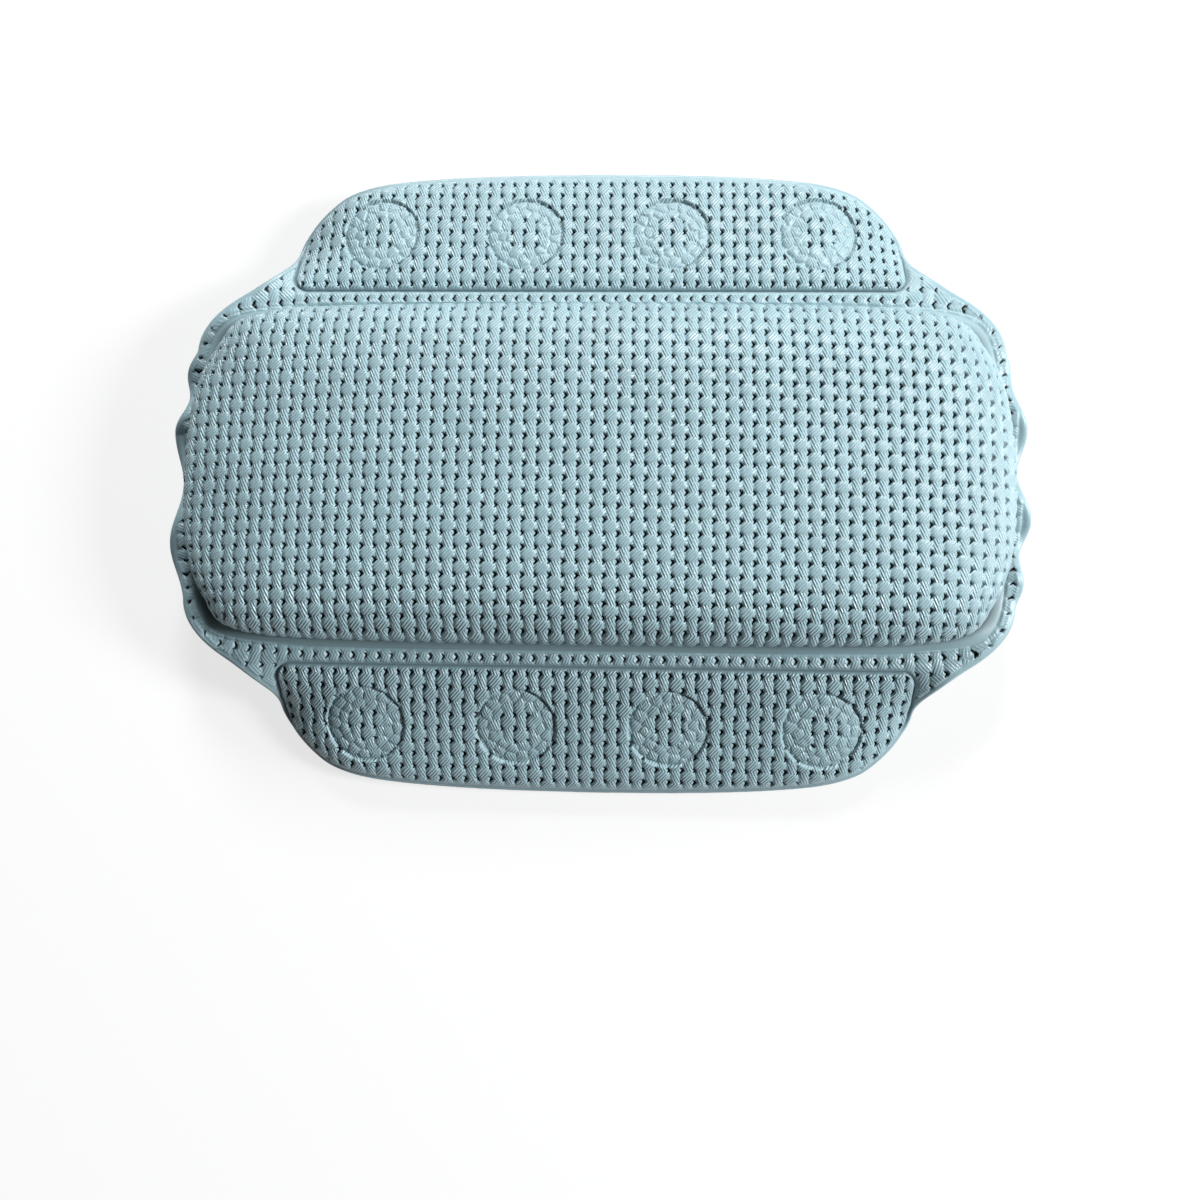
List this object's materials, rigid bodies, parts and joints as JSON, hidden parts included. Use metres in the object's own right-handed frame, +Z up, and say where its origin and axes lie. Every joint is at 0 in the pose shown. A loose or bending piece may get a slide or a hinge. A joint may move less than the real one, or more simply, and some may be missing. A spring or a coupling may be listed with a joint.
{
  "type": "bath pillow",
  "caption": "Bath pillow of embossed soft foam sheet: a puffed cushion with puckered ends and, along each long side, a folding flap with suction cups on its back.",
  "frame": {"origin": "on the ground under the middle of the whole outline, with the pillow lying on its back", "axes": "+Z up out of the cushion's face, +X along the cushion, +Y towards the upper flap, which is the top in the picture"},
  "size_m": [0.3198, 0.2354, 0.0532],
  "materials": {
    "foam_sheet": "soft foam sheet embossed with a plain weave, satin sheen",
    "back_film": "smooth soft film, satin",
    "foam_core": "open soft foam, unseen",
    "clear_rubber": "clear soft moulding, glossy"
  },
  "bodies": {
    "cushion": {"cushion_front_cover": "foam_sheet", "cushion_back_cover": "back_film", "cushion_core": "foam_core", "upper_fold_front": "foam_sheet", "upper_fold_back": "back_film", "lower_fold_front": "foam_sheet", "lower_fold_back": "back_film"},
    "upper_flap": {"upper_flap_front": "foam_sheet", "upper_flap_back": "back_film", "upper_suction_cup_1": "clear_rubber", "upper_suction_cup_2": "clear_rubber", "upper_suction_cup_3": "clear_rubber", "upper_suction_cup_4": "clear_rubber"},
    "lower_flap": {"lower_flap_front": "foam_sheet", "lower_flap_back": "back_film", "lower_suction_cup_1": "clear_rubber", "lower_suction_cup_2": "clear_rubber", "lower_suction_cup_3": "clear_rubber", "lower_suction_cup_4": "clear_rubber"}
  },
  "joints": [
    {"name": "upper_fold", "type": "hinge", "parent": "cushion", "child": "upper_flap", "pos_m": [0, 0.06689, 0.0242], "axis": [1, 0, 0], "range_deg": [-69, 86], "stiffness_Nm_per_rad": 0.35, "springref_deg": 1.15, "deforming": ["upper_fold_front", "upper_fold_back"]},
    {"name": "lower_fold", "type": "hinge", "parent": "cushion", "child": "lower_flap", "pos_m": [0, -0.06911, 0.0242], "axis": [-1, 0, 0], "range_deg": [-55, 100], "stiffness_Nm_per_rad": 0.35, "springref_deg": 1.15, "deforming": ["lower_fold_front", "lower_fold_back"]}
  ]
}
